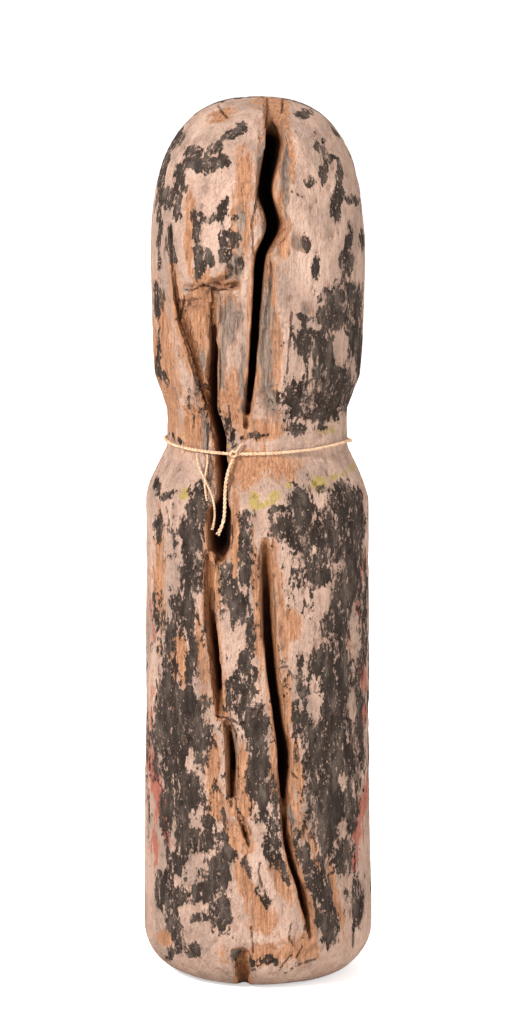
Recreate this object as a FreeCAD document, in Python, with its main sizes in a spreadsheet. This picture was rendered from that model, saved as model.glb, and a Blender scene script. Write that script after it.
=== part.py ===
import FreeCAD, Part
import math
import os
import Sketcher

# Carved wooden fertility doll: one billet of wood carved as a domed head, a neck and a
# rounded post of a body, opened by drying splits, with a thin cord tied round its neck.
# Millimetres. +Z is up, the front faces -Y, and the origin is the centre of the base.

UP = FreeCAD.Vector(0, 0, 1)

# Driving dimensions: name in the sheet, value, what it is.
DIMENSIONS = [
    ("figure_height", 350.0, "base to crown"),
    ("foot_radius", 45.7, "body just above the rounded base"),
    ("base_rounding", 20.0, "rounded lower edge"),
    ("shoulder_radius", 44.4, "body at the shoulder"),
    ("shoulder_height", 195.0, "where the body turns in to the neck"),
    ("shoulder_rounding", 26.0, "convex shoulder"),
    ("neck_radius", 35.9, "neck"),
    ("neck_foot_height", 212.0, "lower end of the neck"),
    ("neck_top_height", 226.5, "upper end of the neck"),
    ("neck_top_rounding", 8.0, "hollow between neck and head"),
    ("jaw_radius", 41.2, "lower edge of the head"),
    ("jaw_height", 241.5, "lower edge of the head"),
    ("jaw_rounding", 14.0, "lower edge of the head"),
    ("head_radius", 42.2, "head at its widest"),
    ("head_height", 288.0, "head at its widest"),
    ("head_rounding", 120.0, "swell of the head's side"),
    ("temple_radius", 35.8, "where the head's side meets the crown"),
    ("temple_rounding", 38.0, "edge of the crown"),
    ("crown_radius", 55.0, "curve of the crown"),
    ("cord_diameter", 1.4, "tied cord and its right tail"),
    ("strand_diameter", 0.9, "thin left tail and short end"),
    ("cord_height", 214.2, "cord's place on the neck"),
    ("cord_clearance", 0.1, "cord to neck"),
    ("knot_radius", 1.6, "overhand knot"),
    ("knot_angle", 14.8, "knot's place, degrees to the left of the front"),
    ("split_reach", 52.0, "outer end of a split's wedge, past the widest wood"),
    ("split_turn", 0.6, "share of its offset that a split keeps at its inner end"),
]

# Each drying split is a wedge that narrows to the heart: height, offset, mouth, inner end.
SPLITS = {
    "head_split": [
        (352.0, 7.0, 10.5, 24.0),
        (326.0, 6.6, 9.5, 12.0),
        (292.0, 5.0, 8.0, 8.0),
        (262.0, -0.4, 5.6, 10.0),
        (218.0, -4.2, 1.6, 30.0),
    ],
    "left_split": [
        (271.0, -18.3, 1.4, 36.0),
        (236.0, -19.0, 3.4, 26.0),
        (218.0, -16.6, 5.2, 16.0),
        (190.0, -16.4, 11.0, 16.0),
        (168.0, -16.6, 10.0, 20.0),
        (158.0, -19.0, 4.6, 30.0),
        (104.0, -16.0, 3.6, 34.0),
    ],
    "right_split": [
        (171.0, 3.0, 2.0, 38.0),
        (140.0, 4.6, 6.0, 26.0),
        (108.0, 7.6, 5.6, 22.0),
        (82.0, 11.2, 6.4, 20.0),
        (58.0, 11.6, 3.0, 28.0),
        (36.0, 17.0, 4.2, 30.0),
        (14.0, 21.0, 1.6, 38.0),
    ],
}
SPLIT_FIELDS = ("height", "offset", "mouth", "heart")

# Routes of the three hanging strands, from the neck down. They lie against the shoulder.
RIGHT_TAIL_ROUTE = [
    (-9.7, -36.4, 212.2),
    (-11.0, -37.1, 209.5),
    (-12.2, -39.0, 205.4),
    (-12.8, -41.2, 200.8),
    (-12.9, -43.1, 196.2),
    (-13.0, -44.2, 191.5),
    (-13.8, -44.5, 187.2),
    (-15.7, -44.1, 183.6),
]
LEFT_TAIL_ROUTE = [
    (-23.9, -27.9, 213.1),
    (-23.8, -29.7, 210.5),
    (-22.4, -33.8, 206.9),
    (-20.0, -37.4, 202.8),
    (-17.8, -40.4, 198.2),
    (-16.8, -42.4, 193.4),
    (-16.9, -43.2, 188.8),
    (-17.8, -43.1, 185.4),
]
SHORT_END_ROUTE = [
    (-19.8, -30.9, 213.1),
    (-19.5, -31.8, 210.7),
    (-20.2, -33.3, 207.4),
    (-20.8, -35.1, 203.6),
    (-20.6, -37.7, 199.6),
    (-19.9, -39.7, 196.2),
]
RUN_SHARE = 0.45  # of the shorter run, taken by each arc
TUBE_TOLERANCE = 0.02  # share by which a tube's volume may miss its section times its length
EDGE_TOLERANCE = 0.01  # millimetres

document = FreeCAD.newDocument("fertility_doll")


def fill_sheet():
    """Write every driving dimension to the sheet, one aliased cell each."""
    sheet = document.addObject("Spreadsheet::Sheet", "Sizes")
    rows = list(DIMENSIONS)
    for split, sections in SPLITS.items():
        for number, section in enumerate(sections):
            for field, value in zip(SPLIT_FIELDS, section):
                rows.append((f"{split}_{field}_{number}", value, "drying split"))
    for number, (name, value, meaning) in enumerate(rows, start=1):
        sheet.set(f"A{number}", meaning)
        sheet.set(f"B{number}", str(value))
        sheet.setAlias(f"B{number}", name)
    document.recompute()
    return sheet


sizes = fill_sheet()


def size(name):
    """The value of one cell of the sheet."""
    return float(sizes.get(name))


def origin_plane(body, role):
    """One of a body's own origin planes, such as XY_Plane."""
    return next(f for f in body.Origin.OriginFeatures if f.Role == role)


def new_body(name):
    """An empty body whose label names its file."""
    body = document.addObject("PartDesign::Body", name)
    body.Label = name
    return body


def new_sketch(body, name, role):
    """A sketch on one of the body's own origin planes."""
    sketch = body.newObject("Sketcher::SketchObject", name)
    sketch.AttachmentSupport = [(origin_plane(body, role), "")]
    sketch.MapMode = "FlatFace"
    return sketch


def chain(sketch, points):
    """Add straight lines through the points, joined end to end, and return their numbers."""
    lines = []
    for start, end in zip(points, points[1:]):
        line = Part.LineSegment(FreeCAD.Vector(*start, 0), FreeCAD.Vector(*end, 0))
        lines.append(sketch.addGeometry(line, False))
    for first, second in zip(lines, lines[1:]):
        sketch.addConstraint(Sketcher.Constraint("Coincident", first, 2, second, 1))
    return lines


def place_point(sketch, line, end, across, upward):
    """Bind one end of a line to two expressions, measured from the sketch's origin."""
    geometry = sketch.Geometry[line]
    point = geometry.EndPoint if end == 2 else geometry.StartPoint
    for kind, expression, value in (("DistanceX", across, point.x), ("DistanceY", upward, point.y)):
        if expression:
            number = sketch.addConstraint(Sketcher.Constraint(kind, -1, 1, line, end, value))
            sketch.setExpression(f"Constraints[{number}]", expression)


def carve_profile(body):
    """Half of the figure's outline, from the base's centre up to the crown."""
    corners = [
        ("foot_radius", None),
        ("shoulder_radius", "shoulder_height"),
        ("neck_radius", "neck_foot_height"),
        ("neck_radius", "neck_top_height"),
        ("jaw_radius", "jaw_height"),
        ("head_radius", "head_height"),
    ]
    points = [(size(r), size(z) if z else 0.0) for r, z in corners]
    top = size("figure_height")
    crown = size("crown_radius")
    temple = size("temple_radius")
    temple_height = top - crown + math.sqrt(crown**2 - temple**2)
    sketch = new_sketch(body, "figure_outline", "XZ_Plane")
    outline = [(0.0, top), (0.0, 0.0), *points, (temple, temple_height)]
    lines = chain(sketch, outline)
    centre = FreeCAD.Vector(0, top - crown, 0)
    circle = Part.Circle(centre, UP, crown)
    temple_turn = math.atan2(temple_height - centre.y, temple)
    arc = sketch.addGeometry(Part.ArcOfCircle(circle, temple_turn, math.pi / 2), False)
    join = Sketcher.Constraint
    sketch.addConstraint(join("Coincident", lines[-1], 2, arc, 1))
    sketch.addConstraint(join("Coincident", arc, 2, lines[0], 1))
    sketch.addConstraint(join("PointOnObject", arc, 3, -2))
    sketch.addConstraint(join("Coincident", lines[0], 2, -1, 1))
    sketch.addConstraint(join("Vertical", lines[0]))
    sketch.addConstraint(join("Horizontal", lines[1]))
    radius = sketch.addConstraint(join("Radius", arc, crown))
    sketch.setExpression(f"Constraints[{radius}]", "Sizes.crown_radius")
    place_point(sketch, lines[0], 1, None, "Sizes.figure_height")
    for line, (across, upward) in zip(lines[1:], corners):
        place_point(sketch, line, 2, f"Sizes.{across}", f"Sizes.{upward}" if upward else None)
    place_point(sketch, lines[-1], 2, "Sizes.temple_radius", None)
    return sketch, temple_height


def edges_at(shape, radius, height):
    """Names of the level circles of a turned shape that have this radius and height."""
    names = []
    for number, edge in enumerate(shape.Edges, start=1):
        if edge.Degenerated or not isinstance(edge.Curve, Part.Circle):
            continue
        middle = edge.Curve.Center
        off_radius = abs(edge.Curve.Radius - radius)
        if off_radius < EDGE_TOLERANCE and abs(middle.z - height) < EDGE_TOLERANCE:
            names.append(f"Edge{number}")
    return names


def round_edge(body, base, name, radius, height, rounding):
    """Fillet one level circle of the figure and return the new feature."""
    edges = edges_at(base.Shape, radius, height)
    fillet = body.newObject("PartDesign::Fillet", name)
    fillet.Base = (base, edges)
    fillet.setExpression("Radius", f"Sizes.{rounding}")
    document.recompute()
    return fillet


def split_section(body, split, number):
    """One level triangle of a split's wedge: its mouth in front, its tip at the heart."""
    offset = size(f"{split}_offset_{number}")
    half_mouth = size(f"{split}_mouth_{number}") / 2
    heart = size(f"{split}_heart_{number}")
    reach = size("split_reach")
    turn = size("split_turn")
    corners = [
        (offset - half_mouth, -reach),
        (offset + half_mouth, -reach),
        (offset * turn, -heart),
    ]
    cells = f"Sizes.{split}"
    bindings = [
        (f"{cells}_offset_{number} - {cells}_mouth_{number} / 2", "-Sizes.split_reach"),
        (f"{cells}_offset_{number} + {cells}_mouth_{number} / 2", "-Sizes.split_reach"),
        (f"{cells}_offset_{number} * Sizes.split_turn", f"-{cells}_heart_{number}"),
    ]
    sketch = new_sketch(body, f"{split}_section_{number}", "XY_Plane")
    sketch.AttachmentOffset = FreeCAD.Placement(UP * size(f"{split}_height_{number}"), FreeCAD.Rotation())
    sketch.setExpression("AttachmentOffset.Base.z", f"{cells}_height_{number}")
    lines = chain(sketch, [*corners, corners[0]])
    sketch.addConstraint(Sketcher.Constraint("Coincident", lines[-1], 2, lines[0], 1))
    for line, (across, upward) in zip(lines, bindings):
        place_point(sketch, line, 1, across, upward)
    return sketch


def open_split(body, split):
    """Cut one drying split as a wedge lofted through its triangles."""
    before = body.Shape.Volume
    sketches = [split_section(body, split, number) for number in range(len(SPLITS[split]))]
    cut = body.newObject("PartDesign::SubtractiveLoft", split)
    cut.Profile = sketches[0]
    cut.Sections = sketches[1:]
    cut.Ruled = True
    document.recompute()
    removed = before - body.Shape.Volume
    print(f"{split}: {removed:.0f} mm3 of wood opened")
    if removed <= 0:
        raise ValueError(f"{split} cuts nothing")


def carve_figure():
    """The billet: turned outline, rounded edges and three drying splits."""
    body = new_body("wood_figure")
    profile, temple_height = carve_profile(body)
    billet = body.newObject("PartDesign::Revolution", "billet")
    billet.Profile = profile
    billet.ReferenceAxis = (profile, ["V_Axis"])
    billet.Angle = 360
    document.recompute()
    feature = billet
    roundings = [
        ("base_edge", size("foot_radius"), 0.0, "base_rounding"),
        ("shoulder", size("shoulder_radius"), size("shoulder_height"), "shoulder_rounding"),
        ("neck_top", size("neck_radius"), size("neck_top_height"), "neck_top_rounding"),
        ("jaw", size("jaw_radius"), size("jaw_height"), "jaw_rounding"),
        ("head_side", size("head_radius"), size("head_height"), "head_rounding"),
        ("temple", size("temple_radius"), temple_height, "temple_rounding"),
    ]
    for name, radius, height, rounding in roundings:
        feature = round_edge(body, feature, name, radius, height, rounding)
    for split in SPLITS:
        open_split(body, split)
    return body


def tie_neck_cord():
    """The tied cord: a ring that lies on the neck."""
    body = new_body("neck_cord")
    sketch = new_sketch(body, "cord_section", "XZ_Plane")
    reach = size("neck_radius") + size("cord_clearance") + size("cord_diameter") / 2
    centre = FreeCAD.Vector(reach, size("cord_height"), 0)
    section = sketch.addGeometry(Part.Circle(centre, UP, size("cord_diameter") / 2), False)
    width = sketch.addConstraint(Sketcher.Constraint("Diameter", section, size("cord_diameter")))
    sketch.setExpression(f"Constraints[{width}]", "Sizes.cord_diameter")
    across = sketch.addConstraint(Sketcher.Constraint("DistanceX", -1, 1, section, 3, centre.x))
    upward = sketch.addConstraint(Sketcher.Constraint("DistanceY", -1, 1, section, 3, centre.y))
    ring_reach = "Sizes.neck_radius + Sizes.cord_clearance + Sizes.cord_diameter / 2"
    sketch.setExpression(f"Constraints[{across}]", ring_reach)
    sketch.setExpression(f"Constraints[{upward}]", "Sizes.cord_height")
    ring = body.newObject("PartDesign::Revolution", "cord_ring")
    ring.Profile = sketch
    ring.ReferenceAxis = (sketch, ["V_Axis"])
    ring.Angle = 360
    document.recompute()
    return body


def tie_knot():
    """The overhand knot, a ball that the cord passes through."""
    knot = document.addObject("Part::Sphere", "cord_knot")
    knot.Label = "cord_knot"
    knot.setExpression("Radius", "Sizes.knot_radius")
    reach = "(Sizes.neck_radius + Sizes.cord_clearance + Sizes.knot_radius)"
    knot.setExpression("Placement.Base.x", f"-{reach} * sin(Sizes.knot_angle * 1 deg)")
    knot.setExpression("Placement.Base.y", f"-{reach} * cos(Sizes.knot_angle * 1 deg)")
    knot.setExpression("Placement.Base.z", "Sizes.cord_height")
    document.recompute()
    return knot


def bend_radius(before, corner, after):
    """The radius of the arc that rounds one corner of a route."""
    run_in = corner - before
    run_out = after - corner
    turn = run_in.getAngle(run_out)
    return RUN_SHARE * min(run_in.Length, run_out.Length) / math.tan(turn / 2)


def cord_path(points):
    """Straight runs joined by tangent arcs through the points, as one wire."""
    edges = []
    start = points[0]
    for before, corner, after in zip(points, points[1:], points[2:]):
        run_in = corner - before
        run_out = after - corner
        cut = RUN_SHARE * min(run_in.Length, run_out.Length)
        inward = run_in.normalize()
        outward = run_out.normalize()
        arc_start = corner - inward * cut
        arc_end = corner + outward * cut
        radius = bend_radius(before, corner, after)
        turn = inward.getAngle(outward)
        to_centre = (outward - inward).normalize()
        centre = corner + to_centre * (radius / math.cos(turn / 2))
        arc_middle = centre - to_centre * radius
        edges.append(Part.LineSegment(start, arc_start).toShape())
        edges.append(Part.Arc(arc_start, arc_middle, arc_end).toShape())
        start = arc_end
    edges.append(Part.LineSegment(start, points[-1]).toShape())
    return Part.Wire(edges)


def hang_strand(name, route, diameter):
    """One hanging strand: a round tube along its route."""
    points = [FreeCAD.Vector(*point) for point in route]
    path = cord_path(points)
    first_run = points[1] - points[0]
    section = Part.Wire(Part.makeCircle(diameter / 2, points[0], first_run))
    tube = path.makePipeShell([section], True, True)
    strand = document.addObject("Part::Feature", name)
    strand.Label = name
    strand.Shape = tube
    radii = [bend_radius(*three) for three in zip(points, points[1:], points[2:])]
    print(f"{name}: {path.Length:.2f} mm long, bends of " + ", ".join(f"{r:.1f}" for r in radii))
    expected = math.pi * diameter**2 / 4 * path.Length
    print(f"{name}: volume {tube.Volume:.2f}, section times length {expected:.2f}")
    if abs(tube.Volume - expected) > TUBE_TOLERANCE * expected:
        raise ValueError(f"{name} is not a plain tube")
    return strand


def check_document():
    """Stop at any object that failed to build."""
    for item in document.Objects:
        if "Invalid" in item.State or "Error" in item.State:
            raise ValueError(f"{item.Label} failed: {item.State}")


def write_parts(parts):
    """Check each sub-part's solid and write it to its own file."""
    os.makedirs("parts", exist_ok=True)
    for part in parts:
        shape = part.Shape
        if shape.isNull() or not shape.isValid() or not shape.Solids:
            raise ValueError(f"{part.Label} has no valid solid")
        box = shape.BoundBox
        print(
            f"{part.Label}: {shape.Volume:.1f} mm3, x {box.XMin:.1f}..{box.XMax:.1f}, "
            f"y {box.YMin:.1f}..{box.YMax:.1f}, z {box.ZMin:.1f}..{box.ZMax:.1f}"
        )
        shape.exportStep(os.path.join("parts", f"{part.Label}.step"))


sub_parts = [
    carve_figure(),
    tie_neck_cord(),
    tie_knot(),
    hang_strand("cord_tail_right", RIGHT_TAIL_ROUTE, size("cord_diameter")),
    hang_strand("cord_tail_left", LEFT_TAIL_ROUTE, size("strand_diameter")),
    hang_strand("cord_short_end", SHORT_END_ROUTE, size("strand_diameter")),
]
document.recompute()
check_document()
write_parts(sub_parts)
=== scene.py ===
"""Looks of the carved wooden fertility doll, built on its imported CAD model."""

import logging
import math
from dataclasses import dataclass
from enum import Enum

import bmesh
import bpy
import numpy as np
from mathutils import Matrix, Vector
from mathutils.bvhtree import BVHTree

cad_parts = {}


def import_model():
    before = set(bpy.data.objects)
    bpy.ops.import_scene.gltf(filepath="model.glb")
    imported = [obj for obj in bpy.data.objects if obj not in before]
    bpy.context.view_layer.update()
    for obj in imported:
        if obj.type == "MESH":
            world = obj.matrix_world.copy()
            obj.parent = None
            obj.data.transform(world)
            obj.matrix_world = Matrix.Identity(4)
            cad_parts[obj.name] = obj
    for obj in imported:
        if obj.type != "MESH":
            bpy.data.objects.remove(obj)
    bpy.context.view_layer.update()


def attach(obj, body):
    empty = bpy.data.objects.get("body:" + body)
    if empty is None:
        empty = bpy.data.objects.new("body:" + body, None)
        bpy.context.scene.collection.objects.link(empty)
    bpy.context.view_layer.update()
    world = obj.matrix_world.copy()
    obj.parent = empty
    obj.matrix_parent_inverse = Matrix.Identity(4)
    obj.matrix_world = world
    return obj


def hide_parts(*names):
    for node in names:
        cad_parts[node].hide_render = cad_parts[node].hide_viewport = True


MM = 0.001
LOG = logging.getLogger("doll")
Values = np.ndarray
Place = tuple[float, float, float]

# The viewer stands here. The front's splits and paint are laid out as seen from this place, on the upright
# plane through the figure's middle: x to the right and height above the base, in mm.
VIEWPOINT = (0.0, -2436.0, 582.7)
AIM_HEIGHT = 185.3
LENS = 146.08
CORD_SEAT_HEIGHT = 214.2


class Slot(Enum):
    """Names of the material slots."""

    WOOD = "painted_wood"
    CORD = "cord"


class Paint(Enum):
    """Where each layer of the surface shows, as a field of its own on the wood."""

    BLACK = "black"
    BARE = "bare"
    GREY = "grey"
    YELLOW = "yellow"
    RED = "red"


@dataclass(frozen=True)
class Station:
    """One height of a split.

    Args: height, middle of the mouth, its width, and depth of the heart behind it, all mm.
    """

    height: float
    middle: float
    width: float
    depth: float


@dataclass(frozen=True)
class Split:
    """A drying split: a wedge that narrows from its mouth to its heart.

    Args: name; stations from the top down; ragged, mm of wander in its edges; turn, the share of its
        offset that the heart loses; flare, how far the mouth opens outward.
    """

    name: str
    stations: tuple
    ragged: float = 0.35
    turn: float = 0.5
    flare: float = 0.1

    def at(self, heights: Values, key: str) -> Values:
        """A value of the split, as a smooth curve through its stations.

        Args:
            heights: heights above the base, mm.
            key: the station's field: middle, width or depth.

        Returns:
            The field's value at each height, mm.
        """
        return flowing([-s.height for s in self.stations], [getattr(s, key) for s in self.stations], -heights)

    def edges(self, heights: Values) -> tuple[Values, Values]:
        """The edges of the mouth.

        Args:
            heights: heights above the base, mm.

        Returns:
            The left and the right edge at each height, mm.
        """
        middle, half = self.at(heights, "middle"), self.at(heights, "width") / 2
        return middle - half, middle + half


@dataclass(frozen=True)
class Patch:
    """A soft oval on the front.

    Args: x, height, half width, half height, mm; tilt, degrees from upright, to the right at the top;
        strength, which is negative for an island left out of what is round it.
    """

    x: float
    height: float
    half_width: float
    half_height: float
    tilt: float = 0.0
    strength: float = 1.0

    def reach(self, x: Values, height: Values) -> Values:
        """How far out each place lies, as a share of the oval's size.

        Args:
            x: places to the right of the middle, mm.
            height: their heights, mm.

        Returns:
            0 at the oval's middle, 1 on its rim and more outside it.
        """
        lean = math.radians(self.tilt)
        dx, dz = x - self.x, height - self.height
        across = (dx * math.cos(lean) - dz * math.sin(lean)) / self.half_width
        along = (dx * math.sin(lean) + dz * math.cos(lean)) / self.half_height
        return np.sqrt(across**2 + along**2)


def stations(*rows: tuple[float, ...]) -> tuple[Station, ...]:
    """Rows of (height, middle, width, depth) as stations."""
    return tuple(Station(*row) for row in rows)


def patches(*rows: tuple[float, ...]) -> tuple[Patch, ...]:
    """Rows of a patch's values as patches."""
    return tuple(Patch(*row) for row in rows)


SPLITS = (
    Split("head split", stations(
        (356, 7, 8, 6), (340, 7, 8, 11), (331, 6.5, 7.5, 30), (312, 3, 6, 34), (299, 6.5, 6, 30),
        (286, 1, 4.5, 30), (262, -1, 3.5, 26), (238, -2.5, 3, 24), (215, -5.5, 1, 5)), ragged=0.45),
    Split("tongue split", stations((284, -33.5, 1, 3), (268, -32, 2, 8), (250, -27, 2.5, 9),
    (228, -20.5, 2, 9)),
          ragged=0.2),
    Split("inner split", stations(
        (273, -18, 1.5, 6), (250, -18, 2.5, 14), (230, -19, 4, 19), (212, -15, 4, 26), (192, -14, 3, 24),
        (184, -15.5, 9, 18), (172, -15.5, 9, 16), (165, -15.5, 3, 7)), ragged=0.5),
    Split("brown split", stations((168, -19.5, 2, 4), (150, -19.5, 3, 7), (124, -17, 3.5, 15),
    (102, -15.5, 1.5, 7)),
          ragged=0.25),
    Split("low left split", stations((101, -12.5, 1.5, 8), (84, -10.5, 3, 15), (63, -10.5, 1, 5)), ragged=0.2),
    Split("chink", stations((63, -7.5, 1.5, 4), (55, -5, 2, 9), (48, -3, 1.5, 4)), ragged=0.1),
    Split("right split", stations(
        (174, 3, 1, 4), (162, 3.5, 3.5, 8), (136, 4.5, 4.5, 13), (98, 9, 4, 18), (86, 11, 5.5, 18),
        (64, 11, 2, 14), (46, 13, 2.5, 14), (32, 17.5, 3, 13), (5, 22.5, 1, 3)), ragged=0.45),
    Split("foot split", stations((15, 19.5, 1, 4), (9, 17, 1, 5), (5, 14, 1, 3)), ragged=0.15),
    Split("foot notch", stations((7, -6, 1, 2), (-1, -6, 4.5, 7), (-9, -6, 5, 8)), ragged=0.2),
)

SMALL_OVAL = 2.2  # mm; ovals thinner than this are fainter

# Wood that has broken away or worn back, with the depth in mm as its strength.
HOLLOWS = patches(
    (-11.5, 262, 4.5, 10, 0, 1.0), (-8, 284, 4.2, 5, 0, 1.6), (-13, 276.5, 7, 3.2, 0, 3.2),
    (-26, 268.5, 7, 2.2, 0, 2.2), (5, 255, 4.5, 40, 0, 1.5), (-9, 232, 5, 16, 0, 0.6),
    (-20, 305, 4, 10, 0, 0.7),
    (-11.8, 281, 1.7, 2.4, 0, 3.5), (-21.5, 227, 3.2, 12, 5, 1.6), (-19.5, 196, 3.2, 14, 0, 1.5),
    (6, 300, 5, 9, 0, 1.2),
    (0.5, 316, 3.0, 22, 0, 1.2), (13, 318, 4, 20, 0, 0.8), (3.5, 150, 3.6, 30, -4, 1.3),
    (-19.5, 140, 3.5, 30, -4, 0.8),
    (9, 110, 4, 28, -8, 1.0), (-10.5, 85, 3.4, 22, -4, 1.0), (13, 60, 4.5, 26, -18, 1.0),
    (1, 50, 5, 22, -24, 0.7),
    (-30, 130, 3, 30, -6, 0.5), (24, 100, 4, 40, 0, 0.4), (-6.4, 1, 4, 7, 0, 2.2), (30, 215, 8, 5, 0, 0.5),
    (-20, 160, 2.4, 9, 0, 1.2),
)

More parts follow.
